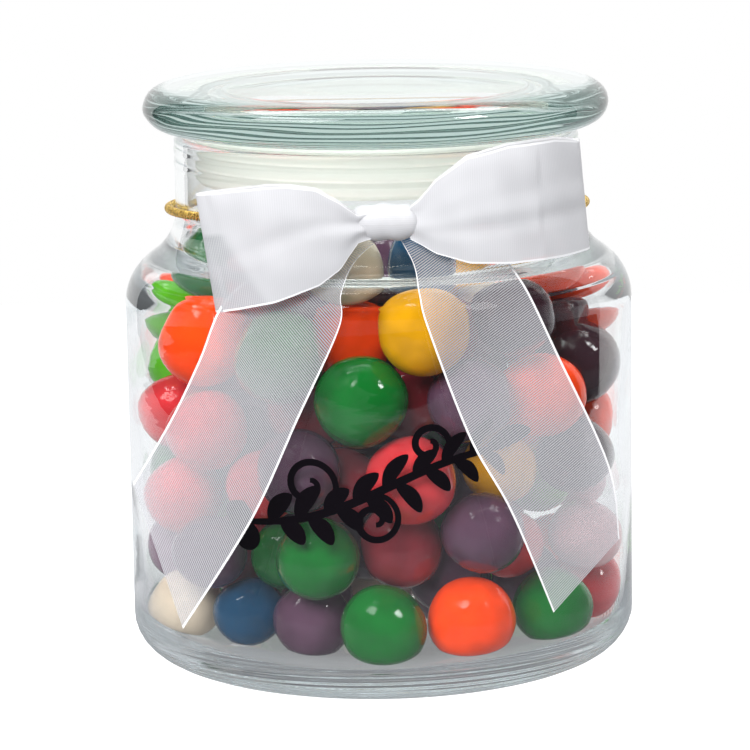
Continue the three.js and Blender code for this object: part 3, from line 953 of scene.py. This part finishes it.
left_tail = ([(-0.5, -44, 90), (-20, -44.5, 84.5), (-29, -45, 78.5), (-34, -46.5, 67.5),
              (-39.5, -47, 56.5), (-47, -46, 44)],
             [(3, -44, 91.5), (-4, -45, 86), (-7, -48, 80), (-7.5, -51, 74),
              (-15.5, -52.5, 57), (-24.5, -53, 38), (-38, -52, 17)])
right_tail = ([(3, -44, 91.5), (6.5, -45, 85), (7.5, -48, 79.5), (9, -51, 73.5),
               (16.5, -52.5, 53), (24, -53, 39), (32, -52, 19)],
              [(6.5, -44, 91), (20, -44.5, 88), (26.5, -45.5, 82), (33.5, -46.5, 67.5),
               (43, -46, 46), (45, -45, 31.5)])
way_down = np.linspace(0, 1, tail_steps + 1)
tail_cover = np.interp(way_down, (0, 0.3, 0.5, 1), (0.38, 0.40, 0.54, 0.57))[:, None]
for edges in (left_tail, right_tail):
    lay_strip(tail_grid(*edges), tail_cover)

bow = finished("organza_bow", cloth_points, cloth_faces, loops=cloth_uv)
covering = bow.data.attributes.new("cover", "FLOAT", "POINT")
covering.data.foreach_set("value", np.array(cloth_cover, dtype=np.float32))

organza, tree, output = material("white_organza")
rib_pitch = 0.42 * MM
warp_pitch = 0.30 * MM
selvage = 0.4 * MM
weft_share, warp_share, plain_share = 0.42, 0.10, 0.26
uv = add(tree, "ShaderNodeUVMap", uv_map="UVMap")
split = add(tree, "ShaderNodeSeparateXYZ", {"Vector": uv})
cloth_x, cloth_y = split.outputs["X"], split.outputs["Y"]
cover = add(tree, "ShaderNodeAttribute", attribute_name="cover").outputs["Fac"]


def threads(tree, position, pitch):
    """Evenly spaced threads, from 0 between them to 1 on them."""
    angle = product(tree, position, 2 * math.pi / pitch)
    return maths(tree, "MULTIPLY_ADD", maths(tree, "SINE", angle), 0.5, 0.5)


weft = product(tree, threads(tree, cloth_y, rib_pitch), weft_share)
weave = maths(tree, "ADD", weft, product(tree, threads(tree, cloth_x, warp_pitch), warp_share))
to_edge = maths(tree, "MINIMUM", cloth_x, maths(tree, "SUBTRACT", ribbon_width, cloth_x))
edge = maths(tree, "LESS_THAN", to_edge, selvage)
see_through = maths(tree, "SUBTRACT", 1.0, cover)
uneven = product(tree, maths(tree, "SUBTRACT", weave, plain_share), see_through)
film = maths(tree, "ADD", cover, product(tree, uneven, 2.0))
alpha = maths(tree, "MAXIMUM", film, edge)
alpha.use_clamp = True
tone = add(tree, "ShaderNodeValToRGB", {"Fac": maths(tree, "MAXIMUM", cover, edge)})
ramp = tone.color_ramp.elements
ramp[0].position = 0.5
ramp[0].color = (0.40, 0.40, 0.425, 1)
ramp[1].position = 0.93
ramp[1].color = (0.46, 0.46, 0.477, 1)
ramp.new(1.0).color = (0.62, 0.62, 0.635, 1)
relief = add(tree, "ShaderNodeBump", {"Strength": 0.12, "Distance": 0.08 * MM, "Height": weave})
cloth = add(tree, "ShaderNodeBsdfPrincipled", {
    "Base Color": tone, "Alpha": alpha, "Normal": relief,
    "Roughness": 0.6, "Sheen Weight": 0.1, "Specular IOR Level": 0.1})
feed(tree, output["Surface"], cloth)
bow.data.materials.append(organza)
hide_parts("ribbon_bow")
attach(bow, "root")

# The glass and the sweets don't mirror the bow.
bow.visible_glossy = False

# --------------------------------------------------
# The studio: a white table that ends in front of the jar, in a white room with a dark camera
# side. Three soft lamps, at the front left, above and at the right, light the jar and leave no
# glint. Three more, left, right and a long one above, show only as reflections.

table_front = -0.321
table_back = 0.40
table_half = 0.28
table = finished("studio_table", [(-table_half, table_front, 0), (table_half, table_front, 0),
                                  (table_half, table_back, 0), (-table_half, table_back, 0)],
                 [(0, 1, 2, 3)])
white, tree, output = material("studio_white")


def at_most(tree, count, kind):
    """1 for a ray that has had no more than this count of bounces of one kind, else 0."""
    return maths(tree, "LESS_THAN", about_ray(tree, f"{kind} Depth"), count + 0.5)


def over(tree, count, kind):
    """1 for a ray that has had more than this count of bounces of one kind, else 0."""
    return maths(tree, "GREATER_THAN", about_ray(tree, f"{kind} Depth"), count + 0.5)


def looking_through(tree):
    """1 for a ray from the eye that has only been through clear glass, else 0."""
    in_one_wall = product(tree, over(tree, 1, "Glossy"), at_most(tree, 3, "Transmission"))
    straight_or_so = maths(tree, "MAXIMUM", at_most(tree, 0, "Glossy"), in_one_wall)
    through = about_ray(tree, "Is Transmission Ray")
    return product(tree, through, at_most(tree, 0, "Diffuse"), straight_or_so)


def bounced(tree):
    """1 for light that has been scattered by a matt surface on its way, else 0."""
    return over(tree, 0, "Diffuse")


def inside_glass(tree):
    """1 for a ray that has been thrown back inside one wall of glass and come out, else 0."""
    return product(tree, over(tree, 1, "Transmission"), over(tree, 0, "Glossy"),
                   at_most(tree, 3, "Transmission"))


split = add(tree, "ShaderNodeSeparateXYZ", {"Vector": place_in(tree, "Object")})
behind = add(tree, "ShaderNodeMapRange", {
    "Value": split.outputs["Y"], "From Min": -0.03, "From Max": 0.10, "To Min": 0.15, "To Max": 0.75,
}, interpolation_type="SMOOTHSTEP")
lift = maths(tree, "MULTIPLY_ADD", looking_through(tree), 0.20, product(tree, bounced(tree), 0.5))
lift = maths(tree, "ADD", lift, about_ray(tree, "Is Camera Ray"))
lift = maths(tree, "ADD", lift, behind)
paper = add(tree, "ShaderNodeBsdfDiffuse", {"Color": (0.08, 0.085, 0.10, 1)})
shine = add(tree, "ShaderNodeEmission", {"Strength": lift})
bright = add(tree, "ShaderNodeAddShader", {0: paper, 1: shine})
feed(tree, output["Surface"], bright)
table.data.materials.append(white)


def soft_light(name, place, aim, size, power):
    """A rectangular lamp at a place, turned to its aim."""
    lamp = bpy.data.lights.new(name, "AREA")
    lamp.shape = "RECTANGLE"
    lamp.size, lamp.size_y = size
    lamp.energy = power
    holder = bpy.data.objects.new(name, lamp)
    facing = (Vector(aim) - Vector(place)).to_track_quat("-Z", "Y")
    holder.matrix_world = Matrix.Translation(place) @ facing.to_matrix().to_4x4()
    bpy.context.scene.collection.objects.link(holder)
    return holder


def fill_light(*settings):
    """A soft light that only brightens what it falls on, and leaves no glint."""
    holder = soft_light(*settings)
    holder.visible_glossy = False
    holder.visible_transmission = False


def glint_light(*settings):
    """A soft light that shows only as its reflection in polished things, weaker through cloth."""
    holder = soft_light(*settings)
    holder.visible_diffuse = False
    holder.data.use_nodes = True
    tree = holder.data.node_tree
    past_cloth = maths(tree, "MULTIPLY_ADD", at_most(tree, 0, "Transparent"), 0.85, 0.15)
    in_open = maths(tree, "SUBTRACT", 1.0, inside_glass(tree))
    seen = product(tree, at_most(tree, 0, "Diffuse"), in_open, past_cloth)
    feed(tree, tree.nodes["Emission"].inputs["Strength"], seen)


fill_light("fill", (-0.30, -0.75, 0.55), (0, 0, 0.05), (0.60, 0.40), 14.0)
fill_light("fill_top", (0.10, 0.00, 1.00), (0, 0, 0.05), (0.60, 0.40), 8.0)
fill_light("fill_right", (0.80, -0.10, 0.30), (0, 0, 0.06), (0.40, 0.40), 2.0)
glint_light("left", (-0.48, -0.38, 0.86), (0, 0, 0.05), (0.60, 0.34), 4.0)
glint_light("right", (0.58, -0.40, 0.72), (0, 0, 0.05), (0.20, 0.20), 2.5)
glint_light("band", (0.0, 0.16, 1.0), (0, 0.16, 0.05), (1.10, 0.40), 8.0)

world = bpy.data.worlds.new("studio")
bpy.context.scene.world = world
world.use_nodes = True
tree = world.node_tree
tree.nodes.clear()
split = add(tree, "ShaderNodeSeparateXYZ", {"Vector": place_in(tree, "Generated")})
half_way = maths(tree, "MULTIPLY_ADD", split.outputs["Y"], 0.5, 0.5)
panel_turn = math.radians(12)
panel_width = math.radians(51)
to_right = product(tree, split.outputs["X"], math.sin(panel_turn))
toward_panel = maths(tree, "MULTIPLY_ADD", split.outputs["Y"], math.cos(panel_turn), to_right)


def backdrop(tree, *stops):
    """A tone for each direction, from the camera's side at 0 to the back wall at 1."""
    shade = add(tree, "ShaderNodeValToRGB", {"Fac": half_way})
    ramp = shade.color_ramp
    while len(ramp.elements) < len(stops):
        ramp.elements.new(0.5)
    for element, (position, tone) in zip(ramp.elements, stops):
        element.position = position
        element.color = (tone, tone * 1.01, tone * 1.02, 1)
    return shade


def either(tree, share, first, second):
    """The second colour where the share is 1, else the first."""
    return add(tree, "ShaderNodeMix", {0: share, 6: first, 7: second}, data_type="RGBA").outputs[2]


panel = maths(tree, "GREATER_THAN", toward_panel, math.cos(panel_width))
upward = maths(tree, "GREATER_THAN", split.outputs["Z"], 0.15)
ceiling_in_wall = product(tree, inside_glass(tree), upward)
in_wall = backdrop(tree, (0.0, 0.10), (0.35, 0.30), (0.55, 0.85), (1.0, 0.95))
surround = either(tree, ceiling_in_wall, (0.035, 0.035, 0.04, 1), in_wall)
mirrored = either(tree, panel, surround, (1.0, 1.0, 1.0, 1))
looked_through = backdrop(tree, (0.0, 0.28), (0.40, 0.60), (0.70, 0.85), (1.0, 0.96))
tone = either(tree, looking_through(tree), mirrored, looked_through)
tone = either(tree, bounced(tree), tone, backdrop(tree, (0.0, 0.35), (1.0, 0.7)))
tone = either(tree, about_ray(tree, "Is Camera Ray"), tone, (1, 1, 1, 1))
sky = add(tree, "ShaderNodeBackground", {"Color": tone})
add(tree, "ShaderNodeOutputWorld", {"Surface": sky})

# --------------------------------------------------
# The camera: it stands a little above the jar and looks down on it through a long lens, tilted
# by under a degree.

aim = Vector((-0.97, 0, 54.97)) * MM
distance = 0.7
elevation = math.radians(11.2017)
roll = math.radians(0.9327)
camera = bpy.data.cameras.new("camera")
camera.sensor_width = 36
camera.lens = 166.81
camera.clip_start = 0.01
camera.clip_end = 50
eye = aim + distance * Vector((0, -math.cos(elevation), math.sin(elevation)))
tilt = Matrix.Rotation(math.pi / 2 - elevation, 4, "X") @ Matrix.Rotation(-roll, 4, "Z")
stand = bpy.data.objects.new("camera", camera)
stand.matrix_world = Matrix.Translation(eye) @ tilt
scene = bpy.context.scene
scene.collection.objects.link(stand)
scene.camera = stand
scene.view_settings.view_transform = "Standard"
scene.cycles.transparent_max_bounces = 32
scene.cycles.max_bounces = 32
scene.cycles.glossy_bounces = 24
scene.cycles.transmission_bounces = 24
